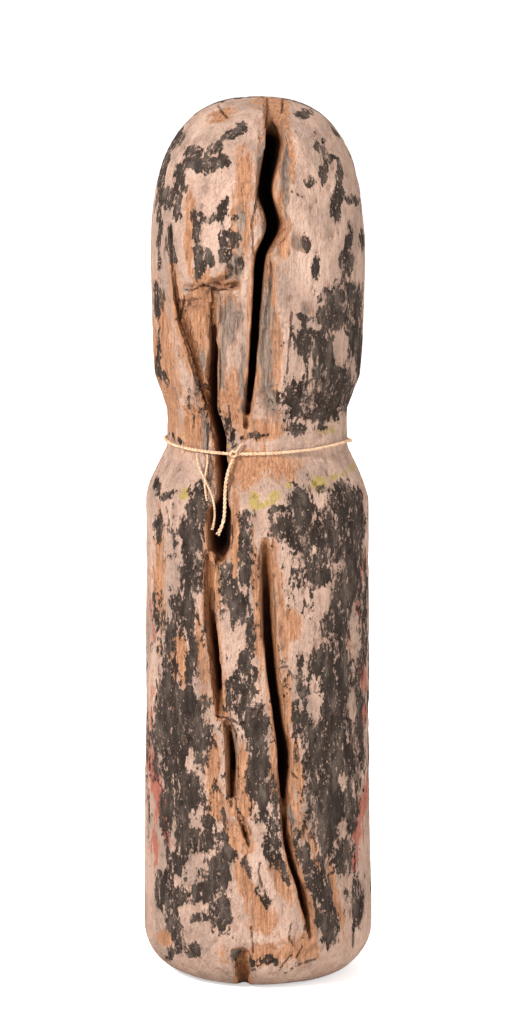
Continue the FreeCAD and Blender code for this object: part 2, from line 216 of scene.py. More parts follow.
BLACK = patches(
    # Head, left.
    (-6.3, 337.8, 2.2, 1.9), (-10.8, 335.5, 3.6, 1.5, -20), (-16.3, 331, 2.7, 3.2, 35),
    (-24.6, 328.6, 3.9, 2.2),
    (-20.6, 323.7, 8, 2.8), (-13.5, 325.5, 2.4, 2.8), (-30.6, 316.5, 2.4, 6.5), (-35.5, 310.3, 2.4, 4.2, 15),
    (-31.8, 305.5, 1.7, 5), (-34.3, 293.3, 1.2, 5), (-33.7, 285, 1.4, 4), (-32, 332.5, 2.4, 4, 35),
    (-37.2, 321, 1.5, 11, 12), (-38.6, 296, 0.9, 13), (-39.3, 270, 1.9, 7), (-24.2, 302.5, 2.7, 3.2),
    (-17, 302.3, 4.8, 1.9, -8), (-13.5, 307.3, 2.3, 3.8, 25), (-9.3, 302, 1.2, 2), (-24.2, 295, 2, 5.2),
    (-23, 285.5, 2.2, 6.4), (-19, 285.5, 2, 3), (-11.7, 294, 3.4, 4), (-12.7, 287.3, 2, 3),
    (-7, 285, 1.4, 3, 0, 0.8),
    # Head, right.
    (22.2, 334.7, 1, 1.1), (25.8, 332.3, 1, 1.4), (22.8, 330.4, 1, 1.1), (25.5, 328.8, 1, 1.1),
    (25.8, 320.7, 1.9, 4.4), (29.4, 325.6, 2.3, 1.5), (20.3, 316.6, 2, 2.4), (31.8, 319, 1, 4.8),
    (30, 336, 1.2, 2.6, -30),
    (18, 343.5, 3.4, 2.2, 0, 0.75), (31.6, 311, 2.7, 3.4), (30.4, 304.3, 2, 4.8), (37.3, 309, 2.6, 1.9),
    (35.6, 292, 1.6, 3.6), (36, 298, 0.9, 4), (34.6, 285, 3, 4.8), (41, 294.6, 1.1, 5), (23, 281.8, 1.7, 3.8),
    (18.8, 293, 1.5, 4.5, -8, 0.8), (34.4, 274, 6, 4.4), (28.2, 272, 4.6, 3.3), (38.5, 269, 2.6, 8),
    (29.4, 263.5, 7, 5.5),
    (17.9, 263, 3, 1.7), (21.5, 253, 9, 5.6), (25.2, 245.7, 6, 10), (36.5, 254.5, 3.4, 7),
    (32, 239.7, 4.2, 6.2),
    (21, 230.5, 12, 8.7), (35, 232, 4, 7), (25.2, 225, 7, 4.2), (15.5, 218.7, 3.7, 3.1), (40, 250, 1.6, 12),
    (32.6, 251, 3.0, 7.5, 0, -1), (15.5, 247, 1.3, 1.1, 0, -1), (22.8, 245.3, 1.2, 2, 0, -1),
    (20.3, 239.7, 1.9, 1.4, 0, -1),
    (14.5, 233.3, 1.3, 1.1, 0, -1), (12, 243, 4.4, 4.6, 0, -1), (33, 275, 1.1, 1.6, 0, -1),
    (23.5, 259.5, 2.2, 1.5, 0, -1),
    # Head edge and neck.
    (-39.3, 248, 1.1, 10), (-37.3, 240, 1.5, 4.8, -25), (-11, 217.5, 1.9, 5.2, -15), (-31.5, 214.6, 3.6, 1, 28),
    (-0.5, 216.2, 5.4, 1.1, -4), (24.6, 218.5, 3.2, 0.9, -8), (-27, 231, 0.7, 4, 0, 0.9),
    (-25.6, 222, 0.7, 3, 0, 0.9),
    (-15, 226, 0.7, 5, 0, 0.7),
    # Shoulder and upper body.
    (-40, 196, 1.6, 2.7), (-36.5, 192.3, 3.6, 1.4, -20), (-39.5, 178.7, 1.6, 5.5), (-24.2, 187.3, 4, 9.5, 8),
    (-27.4, 175, 5.6, 10, 8), (-6.5, 175.7, 3.8, 8.5), (17.3, 187.3, 5, 9.5), (11, 178.7, 5, 5.4),
    (23.4, 174, 12, 10, 0, 0.9),
    (34.4, 190.4, 6.6, 6.6, 15), (25.2, 194.5, 2.7, 1.3), (39.5, 181, 3, 8.5), (37.3, 167, 4.4, 9),
    (8, 186.7, 3.4, 1.2, -15),
    (22, 159, 8.5, 6.5, 0, 0.95), (35, 155, 7, 9), (31, 139, 5.5, 9), (30, 122, 9, 13), (26, 103, 9.5, 13),
    (37, 108, 5, 12), (30, 85, 11, 16), (28, 62, 9.5, 17, -4), (40.5, 92, 1.9, 12), (41.5, 133, 1.8, 14),
    (33, 48, 5, 9, -8),
    (39.4, 28, 2.4, 11), (36.5, 64, 3.5, 10), (30.5, 30, 4.5, 8), (27.5, 18.5, 4.2, 8, -14),
    (24, 33, 3.4, 12, -28),
    (18, 48, 2.8, 10, -22, 0.9), (16.5, 118, 1.8, 10, 0, 0.75), (15.5, 100, 2.6, 9, 0, 0.75),
    # Islands on the right.
    (25.5, 148, 3.8, 8.5, 18, -1), (16.5, 152, 5.5, 9, 0, -1), (22.5, 111, 3.6, 10, 0, -1),
    (38.2, 135, 2.8, 14, 0, -1),
    (37.6, 107, 1.7, 12, 0, -1), (33.8, 76.5, 1.9, 4, 0, -1), (34, 56, 2.4, 4.5, 0, -0.9),
    (30.6, 164, 1.4, 2.5, 0, -0.9),
    (32.5, 31, 3.2, 12, -15, -0.7), (21, 170, 1.4, 3, 0, -0.9), (29.5, 146, 1.6, 2, 0, -0.9),
    # Left column of the body.
    (-26, 160, 5.5, 7), (-29.5, 145, 5, 9), (-29, 128, 6.5, 12), (-34.5, 124, 3.4, 17), (-30, 107, 9, 9),
    (-36.5, 104, 4, 15), (-33, 86, 8.5, 12), (-24, 92, 6.5, 9), (-27, 72, 5.5, 8, -6), (-36.5, 66, 3.2, 11),
    (-30, 55, 2.6, 12), (-23.6, 52, 5.5, 4.5), (-37.5, 32, 3.6, 8), (-33, 42, 3, 5), (-34, 28.5, 4.5, 4),
    (-16.5, 38, 5.5, 7),
    (-21.5, 31, 6, 4), (-15.5, 23, 4.5, 8), (-33, 17, 2.6, 7, -12), (-26, 8, 3.2, 3.6, -30, 0.8),
    (-31.5, 9.5, 2.2, 3, 0, 0.7),
    (-22, 21, 4.5, 2.6, 0, 0.8), (-19, 60, 3.2, 4), (-12.5, 49, 3.8, 6, -20, 0.9),
    (-30.5, 133, 2.4, 11, -6, -1), (-30.5, 118, 2, 6, 0, -0.8), (-26.7, 84, 2, 6, 0, -0.9),
    (-22.5, 116, 1.5, 16, -4, -0.8),
    (-40.4, 99, 3, 2.4, -40, -1), (-23.5, 112, 2, 4, 0, -0.7), (-31.5, 171, 2.4, 8, 5, -0.6),
    # Strip between the splits.
    (-12.5, 160, 3.2, 8, 0, 0.85), (-4.5, 163, 2.2, 9, 0, 0.75), (-9, 147, 6, 7, 0, 0.85),
    (-3.5, 135, 2.2, 12, 0, 0.75),
    (-5.5, 115, 5, 11, 0, 0.9), (-10.5, 112, 3.4, 7), (-1, 98, 5.5, 10, 0, 0.9), (1, 82, 4.4, 10, -6, 0.9),
    (4.5, 66, 4.5, 12, -10), (-1.5, 78, 3, 9, 0, 0.8), (6, 47, 3.4, 9, -20, 0.85), (2, 30, 2.4, 5, -20, 0.8),
    (-9.5, 128, 3, 6, 0, -0.8), (-13, 141, 1.6, 8, 0, -0.7), (10.5, 40, 2, 8, -22, 0.75),
    (-5, 40, 2.5, 5, -20, 0.7),
    (-4.5, 2, 4.5, 3, 0, 0.75), (5, 3.5, 3.8, 2.4, 0, 0.6), (-8.5, 6, 2.4, 3, 0, 0.7),
    (-35, 6, 3.5, 2, -50, 0.6),
)

BARE = patches(
    (-24.5, 262, 7, 16, 8), (-35.5, 245, 3.5, 30, -6, 0.95), (-27, 296, 1.8, 16), (-5, 318, 3.4, 14),
    (-6, 300, 4.5, 12, 0, 0.8),
    (9.5, 300, 2.6, 16, 0, 0.9), (12, 325, 2.6, 12, 0, 0.9), (7.2, 345, 3.6, 6), (4.5, 275, 3, 14, 0, 0.9),
    (6, 245, 3, 25, 0, 0.8),
    (-9, 230, 4.5, 14), (-14.5, 240, 2, 18, 0, 0.9), (-25, 220, 6, 12, 0, 0.6), (2, 218, 9, 5, 0, 0.6),
    (-5, 203, 9, 9, 0, 0.75),
    (10, 203, 9, 7, 0, 0.5), (-9, 176, 1.8, 16), (-16.6, 158, 1.5, 20, -3), (-0.6, 150, 1.4, 30, -3),
    (8.6, 150, 1.8, 24, -6),
    (12.5, 140, 4.5, 6), (-22.5, 125, 2, 20, -6), (-30.5, 126, 2.3, 11, -6), (-13.8, 112, 1.7, 12, -4),
    (12, 108, 2, 12, -6),
    (-17.5, 84, 3, 12), (-16, 68, 3.6, 8), (-6.5, 82, 2.6, 9), (-6, 68, 3.6, 9, -8), (6.8, 84, 2.4, 14, -4),
    (16.2, 80, 1.6, 14, -4),
    (14.5, 62, 3, 9, -20), (-9.5, 54, 3, 9, -18), (-5.5, 36, 3, 12, -24), (1, 22, 5, 9, -30),
    (9, 36, 2.4, 10, -24),
    (13.5, 48, 2, 8, -20), (20.5, 26, 3, 9, -22), (21, 52, 1.6, 14, -16), (31, 30, 2, 14, -12, 0.9),
    (-40, 245, 2, 22, -6, 0.6),
    (-20, 276, 8, 2.6, 0, 1), (-12, 277, 5, 4, 0, 1), (0, 6, 18, 5, 0, 0.45), (18, 8, 9, 6, 0, 0.5),
    (-37, 12, 4, 6, -30, 0.5),
    (-33.5, 120, 1.4, 20, 0, 0.6), (-39, 160, 2.5, 30, 0, 0.5), (4, 348, 8, 2.6, 0, 0.8),
    (-14, 343, 6, 3, -25, 0.5),
)

GREY = patches(
    (2.6, 255, 3.6, 28), (4.6, 232, 3.6, 12), (-11, 262, 6, 12), (-9, 284, 4.6, 8, 0, 0.9), (1, 324, 1.6, 20),
    (11.3, 318, 2, 18, 0, 0.9),
    (-23, 240, 2, 14, 8, 0.9), (-20.5, 218, 2, 14, 0, 0.9), (-6, 240, 2.2, 18, 0, 0.8),
    (4.5, 296, 4, 9, 0, 0.7), (16.5, 293, 5, 6, 0, 0.5),
    (-19.4, 200, 2, 14, 0, 0.7), (7, 150, 1.6, 26, 0, 0.5), (-9.5, 90, 2, 14, 0, 0.6),
    (-7, 300, 3, 10, 0, 0.6), (-14, 250, 3, 20, 0, 0.7),
    (20, 266, 4, 4, 0, 0.4), (13, 62, 2, 14, -18, 0.5),
)

YELLOW = patches(
    (26, 217.2, 7, 1.2, -10), (-2, 190.5, 2.8, 4), (6.5, 191.5, 3, 1.9, -12), (1.8, 187.8, 7, 1.3, -8),
    (24, 196.8, 3.4, 3.4),
    (31, 199.6, 8, 1.4, -20), (38, 204.5, 3, 1.5, -30), (-29, 192.5, 2.2, 2.6),
    (-27.5, 187, 1.6, 3, -10, 0.7), (12.6, 195.5, 1.2, 2.4),
    (-30, 216.5, 3, 1, 25, 0.7), (-13, 211.5, 2, 1.6, 0, 0.5), (17, 194, 1.6, 1.2, 0, 0.5),
)

RED = patches(
    (41.5, 162, 1.3, 13, 16), (39.8, 146, 1.2, 8, -20), (41.5, 120, 1.6, 9, -10), (42.5, 104, 1.4, 8, 8),
    (41, 92, 1, 6, -12),
    (42.3, 68, 2, 12, 10), (40, 55, 2.6, 6, 0), (39.5, 45, 2, 5, 10), (36, 137, 1, 8, -5, 0.6),
    (40.8, 190, 1, 8, 0, 0.9),
    (-41.6, 140, 1.6, 15, -5, 0.75), (-42.6, 104, 1.3, 18, 5, 0.7), (-41.3, 76, 2.6, 18, -10),
    (-37.5, 62, 2.6, 12, -8), (-41, 50, 2.4, 9, -5, 0.8),
    (-43.2, 165, 0.9, 16, 0, 0.6),
)

# Fine cracks, too thin to be opened in the wood: points of x and height.
HAIRLINES = (
    ((-34.2, 300), (-33.8, 284), (-33, 270)), ((-30, 263), (-28.6, 274), (-26, 273.6), (-22, 275.4)),
    ((-17, 103), (-10.5, 101.8), (-7.5, 99.8), (-4.8, 100.6), (-1.6, 101.6), (0.6, 104.5), (2.4, 108)),
    ((-15.6, 346.6), (-13.2, 343), (-11.8, 341.6)), ((1.2, 43.8), (0, 39.4), (1.2, 35), (3.4, 30.5)),
    ((-2.8, 17), (-2.2, 11.6), (-2, 6.5)), ((-15, 14.6), (-11.3, 14), (-8.6, 11.4)), ((13.4, 5.5), (8.6, -0.4)),
    ((38.4, 18), (38, 8.5)), ((-5.8, 215.6), (-7.6, 212.4), (-10.4, 211)), ((9, 122.6), (12.4, 123),
    (13.4, 119)),
    ((13.4, 20), (12.4, 12), (14.2, 9)), ((-27.4, 160), (-22, 166.6), (-20.4, 170)), ((1.6, 320), (-2.4, 300),
    (-1.6, 288)),
    ((12.8, 313), (17.4, 310.6)), ((-22, 276), (-15, 273.8), (-8.6, 275.6)), ((20.6, 112), (25.6, 113)),
    ((-0.8, 110.6), (5, 108.8)), ((11, 84), (16.4, 76)), ((-32.6, 262), (-27.8, 266)), ((-11.4, 228),
    (-10.4, 216)),
    ((3.6, 349.6), (3.8, 345), (3, 338)), ((9.6, 349), (9.4, 344)), ((-12.6, 278), (-11.8, 283.6)),
    ((-8.8, 287), (-8.4, 280)),
    ((12.4, 230), (13.6, 219.6)), ((13.4, 266), (11.6, 240)), ((16, 72), (19, 71.6)), ((-20, 225),
    (-19.6, 200), (-20.6, 190)),
    ((-7.4, 61.8), (-5.7, 56.4), (-4.1, 52), (-3.2, 49)), ((-10.8, 100), (-10.6, 66)), ((-33.2, 276),
    (-30.8, 263), (-25.6, 247), (-20.6, 229)),
    ((-18, 274), (-17.8, 250), (-18.8, 236)), ((19, 18), (17.2, 8), (14.6, 2.6)), ((23.6, 4), (16.5, 1.6),
    (10, -2.4)),
)


# ---------------------------------------------------------------- small tools


def linear(hex_colour: str) -> tuple[float, float, float, float]:
    """Makes an sRGB colour linear.

    Args:
        hex_colour: such as #C0A080.

    Returns:
        Linear red, green, blue and an alpha of 1.
    """
    parts = [int(hex_colour[i : i + 2], 16) / 255 for i in (1, 3, 5)]
    lin = [c / 12.92 if c <= 0.04045 else ((c + 0.055) / 1.055) ** 2.4 for c in parts]
    return (*lin, 1.0)


def smooth_step(low: float, high: float, value: Values | float) -> Values:
    """Eases from 0 to 1.

    Args:
        low: where it is still 0.
        high: where it has reached 1.
        value: the values to ease.

    Returns:
        0 to 1 for each value.
    """
    share = np.clip((value - low) / (high - low), 0, 1)
    return share * share * (3 - 2 * share)


def flowing(known: list[float], values: list[float], wanted: Values) -> Values:
    """Draws a smooth curve through a few points, which never swings past their values.

    Args:
        known: the points' places, rising.
        values: the points' values.
        wanted: the places to read.

    Returns:
        The curve's value at each wanted place.
    """
    known, values = np.array(known, float), np.array(values, float)
    gap = np.diff(known)
    slope = np.diff(values) / gap
    lean = np.zeros(len(values))
    lean[0], lean[-1] = slope[0], slope[-1]
    for spot in range(1, len(slope)):
        if slope[spot - 1] * slope[spot] > 0:
            lean[spot] = 2 * slope[spot - 1] * slope[spot] / (slope[spot - 1] + slope[spot])
    wanted = np.clip(wanted, known[0], known[-1])
    spot = np.clip(np.searchsorted(known, wanted) - 1, 0, len(gap) - 1)
    share = (wanted - known[spot]) / gap[spot]
    rest = 1 - share
    return (
        values[spot] * (1 + 2 * share) * rest**2 + values[spot + 1] * (3 - 2 * share) * share**2
        + gap[spot] * share * rest * (lean[spot] * rest - lean[spot + 1] * share)
    )


class Grain:
    """Even random lumps in space, the same on each run."""

    def __init__(self, seed: int) -> None:
        """Fills the table of lumps from a seed."""
        self.table = np.random.default_rng(seed).random((32, 32, 32))

    def at(self, points: Values, size: float | Place) -> Values:
        """Reads the lumps.

        Args:
            points: places, mm, one row each.
            size: a lump's size, or its size along x, y and z, mm.

        Returns:
            0 to 1 for each point.
        """
        place = points / np.asarray(size, float)
        cell = np.floor(place).astype(int)
        part = place - cell
        part = part * part * (3 - 2 * part)
        total = 0
        for corner in range(8):
            step = np.array([(corner >> k) & 1 for k in range(3)])
            i, j, k = ((cell + step) % 32).T
            weight = np.prod(np.where(step, part, 1 - part), axis=1)
            total = total + weight * self.table[i, j, k]
        return total

    def rough(self, points: Values, size: float | Place, octaves: int = 3) -> Values:
        """Reads lumps with finer lumps on them.

        Args:
            points: places, mm, one row each.
            size: the largest lumps' size, mm.
            octaves: how many sizes, each half the one before.

        Returns:
            0 to 1 for each point.
        """
        total, share, weight = 0, 0.0, 1.0
        for octave in range(octaves):
            total = total + weight * self.at(points + 13.7 * octave, np.asarray(size, float) / 2**octave)
            share += weight
            weight /= 2
        return total / share


def sighted(points: Values) -> tuple[Values, Values]:
    """Finds where points are seen from the viewpoint.

    Args:
        points: places, mm, one row each.

    Returns:
        Their x and height on the upright middle plane, mm.
    """
    eye = np.array(VIEWPOINT)
    share = -eye[1] / (points[:, 1] - eye[1])
    seen = eye + (points - eye) * share[:, None]
    return seen[:, 0], seen[:, 2]


def oval_field(x: Values, height: Values, ovals: tuple[Patch, ...]) -> Values:
    """Finds how far inside the nearest oval each place lies.

    Args:
        x: places to the right of the middle, mm.
        height: their heights, mm.
        ovals: the patches; those of negative strength are left out.

    Returns:
        1 at an oval's middle, 0 at its rim and less outside.
    """
    field = np.full(len(x), -1.0)
    holes = np.full(len(x), -1.0)
    for oval in ovals:
        inside = np.maximum(1 - oval.reach(x, height), -1)
        softer = min(1.0, min(oval.half_width, oval.half_height) / SMALL_OVAL)
        inside = np.where(inside > 0, inside * softer, inside)
        if oval.strength > 0:
            field = np.maximum(field, inside + (oval.strength - 1) * 0.5)
        else:
            holes = np.maximum(holes, inside - (1 + oval.strength) * 0.5)
    return np.where(holes > -0.3, np.minimum(field, -holes), field)


def line_distance(x: Values, height: Values, line: tuple[tuple[float, float], ...]) -> Values:
    """Measures to a line on the middle plane.

    Args:
        x: places to the right of the middle, mm.
        height: their heights, mm.
        line: the line's points of x and height.

    Returns:
        The distance for each place, mm, 50 at most.
    """
    best = np.full(len(x), 50.0)
    place = np.stack([x, height], 1)
    for start, end in zip(line, line[1:]):
        start, end = np.array(start), np.array(end)
        run = end - start
        share = np.clip(((place - start) @ run) / (run @ run), 0, 1)
        best = np.minimum(best, np.linalg.norm(place - start - share[:, None] * run, axis=1))
    return best


def mesh_places(mesh: bpy.types.Mesh) -> Values:
    """Reads a mesh's vertices.

    Args:
        mesh: the mesh.

    Returns:
        Their places, mm, one row each.
    """
    places = np.empty(len(mesh.vertices) * 3)
    mesh.vertices.foreach_get("co", places)
    return places.reshape(-1, 3) / MM


def place_vertices(mesh: bpy.types.Mesh, places: Values) -> None:
    """Moves a mesh's vertices.

    Args:
        mesh: the mesh.
        places: where they go, mm.
    """
    mesh.vertices.foreach_set("co", (places * MM).ravel())
    mesh.update()


def bm_object(bm: bmesh.types.BMesh, name: str) -> bpy.types.Object:
    """Makes an object from a bmesh, which is freed.

    Args:
        bm: the shape, in metres.
        name: the piece's name.

    Returns:
        The new object, in the scene.
    """
    bmesh.ops.recalc_face_normals(bm, faces=bm.faces)
    mesh = bpy.data.meshes.new(name)
    bm.to_mesh(mesh)
    bm.free()
    made = bpy.data.objects.new(name, mesh)
    bpy.context.scene.collection.objects.link(made)
    return made


def apply_modifiers(item: bpy.types.Object) -> None:
    """Turns an object's modifiers into its mesh.

    Args:
        item: the object.
    """
    evaluated = item.evaluated_get(bpy.context.evaluated_depsgraph_get())
    mesh = bpy.data.meshes.new_from_object(evaluated)
    old = item.data
    item.modifiers.clear()
    item.data = mesh
    bpy.data.meshes.remove(old)


def report(item: bpy.types.Object) -> None:
    """Logs a finished piece and its triangles."""
    LOG.info("%s: %d triangles", item.name, sum(len(p.vertices) - 2 for p in item.data.polygons))


# ---------------------------------------------------------------- finishes


class Nodes:
    """One material's node tree."""

    def __init__(self, name: str) -> None:
        """Starts a material with an empty tree."""
        self.material = bpy.data.materials.new(name)
        self.material.use_nodes = True
        self.tree = self.material.node_tree
        self.tree.nodes.clear()
        self.tree.nodes.new("ShaderNodeOutputMaterial")

    def add(self, kind: str, inputs: dict | None = None, **settings: object) -> bpy.types.Node:
        """Adds a node, and sets or links its inputs.

        Args:
            kind: the node's type, without ShaderNode.
            inputs: values or sockets by input.
            settings: the node's own settings.

        Returns:
            The node.
        """
        node = self.tree.nodes.new(f"ShaderNode{kind}")
        for key, value in settings.items():
            setattr(node, key, value)
        for key, value in (inputs or {}).items():
            if isinstance(value, bpy.types.NodeSocket):
                self.tree.links.new(value, node.inputs[key])
            else:
                node.inputs[key].default_value = value
        return node

    def maths(self, operation: str, first: object, second: object = 0.0, third: object = 0.0) -> bpy.types.NodeSocket:
        """Works out one value.

        Args:
            operation: such as ADD.
            first: a value or a socket.
            second: a value or a socket.
            third: a value or a socket.

        Returns:
            The result.
        """
        return self.add("Math", {0: first, 1: second, 2: third}, operation=operation).outputs[0]

    def mix(self, share: object, first: object, second: object, blend: str = "MIX") -> bpy.types.NodeSocket:
        """Mixes two colours.

        Args:
            share: how much of the second.
            first: the colour below.
            second: the colour above.
            blend: how they mix.

        Returns:
            The colour.
        """
        node = self.add("Mix", {0: share, 6: first, 7: second}, data_type="RGBA", blend_type=blend)
        return node.outputs[2]

    def field(self, name: str) -> bpy.types.NodeSocket:
        """One of the mesh's own fields."""
        return self.add("Attribute", attribute_name=name, attribute_type="GEOMETRY").outputs["Fac"]

    def lumps(self, place: object, sizes: Place, detail: float = 3.0, roughness: float = 0.55) -> bpy.types.NodeSocket:
        """Makes random lumps.

        Args:
            place: the coordinates.
            sizes: their size along x, y and z, mm.
            detail: how much finer they go.
            roughness: how strong the finer ones are.

        Returns:
            0 to 1.
        """
        scale = tuple(1 / (size * MM) for size in sizes)
        spread = self.add("VectorMath", {0: place, 1: scale}, operation="MULTIPLY").outputs[0]
        inputs = {"Vector": spread, "Scale": 1.0, "Detail": detail, "Roughness": roughness}
        return self.add("TexNoise", inputs).outputs[0]

    def ease(self, value: object, low: float, high: float) -> bpy.types.NodeSocket:
        """Eases from 0 at low to 1 at high, where either may be the greater.

        Args:
            value: what is eased.
            low: where it is 0.
            high: where it is 1.

        Returns:
            0 to 1.
        """
        ends = (0.0, 1.0) if low < high else (1.0, 0.0)
        inputs = {"Value": value, "From Min": min(low, high), "From Max": max(low, high)}
        inputs |= {"To Min": ends[0], "To Max": ends[1]}
        return self.add("MapRange", inputs, interpolation_type="SMOOTHSTEP").outputs[0]

    def ramp(self, value: object, *stops: tuple[float, str]) -> bpy.types.NodeSocket:
        """Turns a value into a colour.

        Args:
            value: 0 to 1.
            stops: places and their hex colours, rising.

        Returns:
            The colour.
        """
        node = self.add("ValToRGB", {"Fac": value})
        stops_now = node.color_ramp.elements
        while len(stops_now) < len(stops):
            stops_now.new(0.5)
        for element, (place, colour) in zip(stops_now, stops):
            element.position = place
            element.color = linear(colour)
        return node.outputs["Color"]

    def finish(self, colour: object, roughness: float, bump: object = None, **shader: float) -> bpy.types.Material:
        """Closes the tree with one plain shader.

        Args:
            colour: a colour or a socket.
            roughness: 0 to 1.
            bump: the bent normal, if any.
            shader: the shader's other inputs.

        Returns:
            The material.
        """
        inputs = {"Base Color": colour, "Roughness": roughness, **shader}
        if bump is not None:
            inputs["Normal"] = bump
        surface = self.add("BsdfPrincipled", inputs)
        self.tree.links.new(surface.outputs[0], self.tree.nodes[0].inputs["Surface"])
        return self.material

    def lift_for_viewer(self, strength: float) -> None:
        """Adds a plain glow that only the viewer sees, so that lit paper is pure white.

        Args:
            strength: of the glow, where 1 is white.
        """
        surface = next(node for node in self.tree.nodes if node.type == "BSDF_PRINCIPLED")
        path = self.add("LightPath").outputs["Is Camera Ray"]
        glow = self.add("Emission", {"Color": (1, 1, 1, 1), "Strength": self.maths("MULTIPLY", path, strength)})
        both = self.add("AddShader", {0: surface.outputs[0], 1: glow.outputs[0]})
        self.tree.links.new(both.outputs[0], self.tree.nodes[0].inputs["Surface"])


@dataclass(frozen=True)
class WornWood:
    """Old soft wood under worn earth paint."""

    cream_light: str = "#E2BFAA"
    cream: str = "#D2AE9A"
    cream_dull: str = "#B99C8B"
    wood_light: str = "#DEA681"
    wood: str = "#C78F6B"
    wood_dark: str = "#966649"
    weathered: str = "#AB9586"
    weathered_dark: str = "#806757"
    black: str = "#483C35"
    black_dusty: str = "#76665B"
    black_deep: str = "#352A24"
    yellow: str = "#BFA658"
    red: str = "#BC6450"
    # The last two colours are painted shade, for deep inside the splits.
    heart: str = "#4A2413"
    deep_split_shade: str = "#241108"

    def material(self) -> bpy.types.Material:
        """Chalky cream ground over wood, black patches flaked from it, grey wood by the splits.

        Returns:
            The material.
        """
        n = Nodes("earth paint on old wood")
        place = n.add("TexCoord").outputs["Object"]
        fine = n.lumps(place, (1.5, 1.5, 2.4), 4.0, 0.65)
        flakes = n.lumps(place, (3.2, 3.2, 6.0), 5.0, 0.68)
        broad = n.lumps(place, (14, 14, 26), 3.0)
        grain = n.lumps(place, (0.9, 0.9, 12), 4.0, 0.65)
        streaks = n.lumps(place, (2.4, 2.4, 18), 4.0, 0.68)

        # Bare wood: orange, with darker upright grain.
        wood = n.ramp(grain, (0.3, self.wood_dark), (0.5, self.wood), (0.68, self.wood_light))
        # Weathered wood: grey brown fibres.
        grey = n.ramp(grain, (0.34, self.weathered_dark), (0.6, self.weathered))
        greyed = n.maths("ADD", n.field(Paint.GREY.value), n.maths("MULTIPLY_ADD", streaks, 2.6, -1.3))
        grey_share = n.ease(greyed, -0.1, 0.4)
        wood = n.mix(grey_share, wood, grey)

        # Cream ground: chalky, thin and rubbed in places.
        cream = n.ramp(broad, (0.36, self.cream_dull), (0.5, self.cream), (0.66, self.cream_light))
        speck = n.ramp(fine, (0.3, "#C39C84"), (0.5, "#FFFFFF"))
        cream = n.mix(0.35, cream, speck, "MULTIPLY")
        flecks = n.ease(n.lumps(place, (1.5, 1.5, 2.8), 3.0, 0.7), 0.64, 0.72)
        cream = n.mix(n.maths("MULTIPLY", flecks, 0.55), cream, linear("#86695A"))
        bare = n.maths("ADD", n.field(Paint.BARE.value), n.maths("MULTIPLY_ADD", flakes, 2.2, -1.1))
        bare = n.maths("ADD", bare, n.maths("MULTIPLY_ADD", broad, 1.2, -0.6))
        bare_share = n.ease(bare, -0.34, 0.18)
        grey_bare = n.maths("ADD", n.field(Paint.GREY.value), n.maths("MULTIPLY_ADD", flakes, 1.6, -0.8))
        bare_share = n.maths("MAXIMUM", bare_share, n.ease(grey_bare, -0.05, 0.3))
        lip = n.maths("ADD", n.field("lip"), n.maths("MULTIPLY_ADD", streaks, 4.0, -2.0))
        bare_share = n.maths("MAXIMUM", bare_share, n.ease(lip, 1.9, 0.9))
        stain = n.lumps(place, (6, 6, 20), 5.0, 0.7)
        surface = n.mix(bare_share, cream, wood)

        surface = n.mix(n.maths("MULTIPLY", n.ease(stain, 0.5, 0.68), 0.45), surface, linear("#96786A"))

        # Red and yellow remnants.
        rubbed = n.maths("MULTIPLY_ADD", n.lumps(place, (3, 3, 9), 4.0, 0.65), 3.0, -1.6)
        red = n.maths("ADD", n.field(Paint.RED.value), rubbed)
        surface = n.mix(n.maths("MULTIPLY", n.ease(red, -0.1, 0.25), 0.8), surface, linear(self.red))
        yellow = n.maths("ADD", n.field(Paint.YELLOW.value), n.maths("MULTIPLY_ADD", fine, 2.4, -1.25))
        surface = n.mix(n.maths("MULTIPLY", n.ease(yellow, -0.08, 0.2), 0.8), surface, linear(self.yellow))

        # Black patches: flaky rims, dusty wear, pale specks through them.
        edge = n.maths("ADD", n.maths("MULTIPLY_ADD", flakes, 1.9, -0.95), n.maths("MULTIPLY_ADD", fine, 1.5, -0.75))
        black_edge = n.maths("ADD", n.field(Paint.BLACK.value), edge)
        black_edge = n.maths("ADD", black_edge, n.maths("MULTIPLY_ADD", streaks, 1.2, -0.6))
        black_share = n.ease(black_edge, -0.06, 0.07)
        islands = n.lumps(place, (2.4, 2.4, 4.5), 5.0, 0.72)
        islands = n.maths("ADD", islands, n.maths("MULTIPLY_ADD", stain, 0.7, -0.35))
        black_share = n.maths("MULTIPLY", black_share, n.ease(islands, 0.66, 0.56))
        black_share = n.maths("MULTIPLY", black_share, n.ease(lip, 0.5, 1.0))
        specks = n.maths("ADD", n.lumps(place, (1.3, 1.3, 2.2), 3.0, 0.7), n.maths("MULTIPLY_ADD", stain, 0.5, -0.25))
        specks = n.ease(specks, 0.66, 0.6)
        black_share = n.maths("MULTIPLY", black_share, specks)
        dust = n.lumps(place, (5, 5, 14), 4.0, 0.7)
        black = n.ramp(dust, (0.34, self.black_deep), (0.5, self.black), (0.68, self.black_dusty))
        surface = n.mix(black_share, surface, black)

        # The inside of the splits: browner raw wood on the walls, then painted shade that grows darker with depth
        # towards the heart; and the fine cracks.
        depth = n.field("depth")
        inner = n.mix(n.ease(depth, 2.0, 7.0), n.ramp(grain, (0.3, "#7A4A2E"), (0.65, "#B07850")), linear(self.heart))
        inner = n.mix(n.ease(depth, 5.0, 13.0), inner, linear(self.deep_split_shade))
        surface = n.mix(n.ease(depth, 0.3, 2.5), surface, inner)
        hair = n.maths("ADD", n.field("hairline"), n.maths("MULTIPLY_ADD", fine, 1.5, -0.75))
        hair_share = n.maths("MULTIPLY", n.ease(hair, 0.55, 0.15), 0.72)
        surface = n.mix(hair_share, surface, linear("#3A2015"))

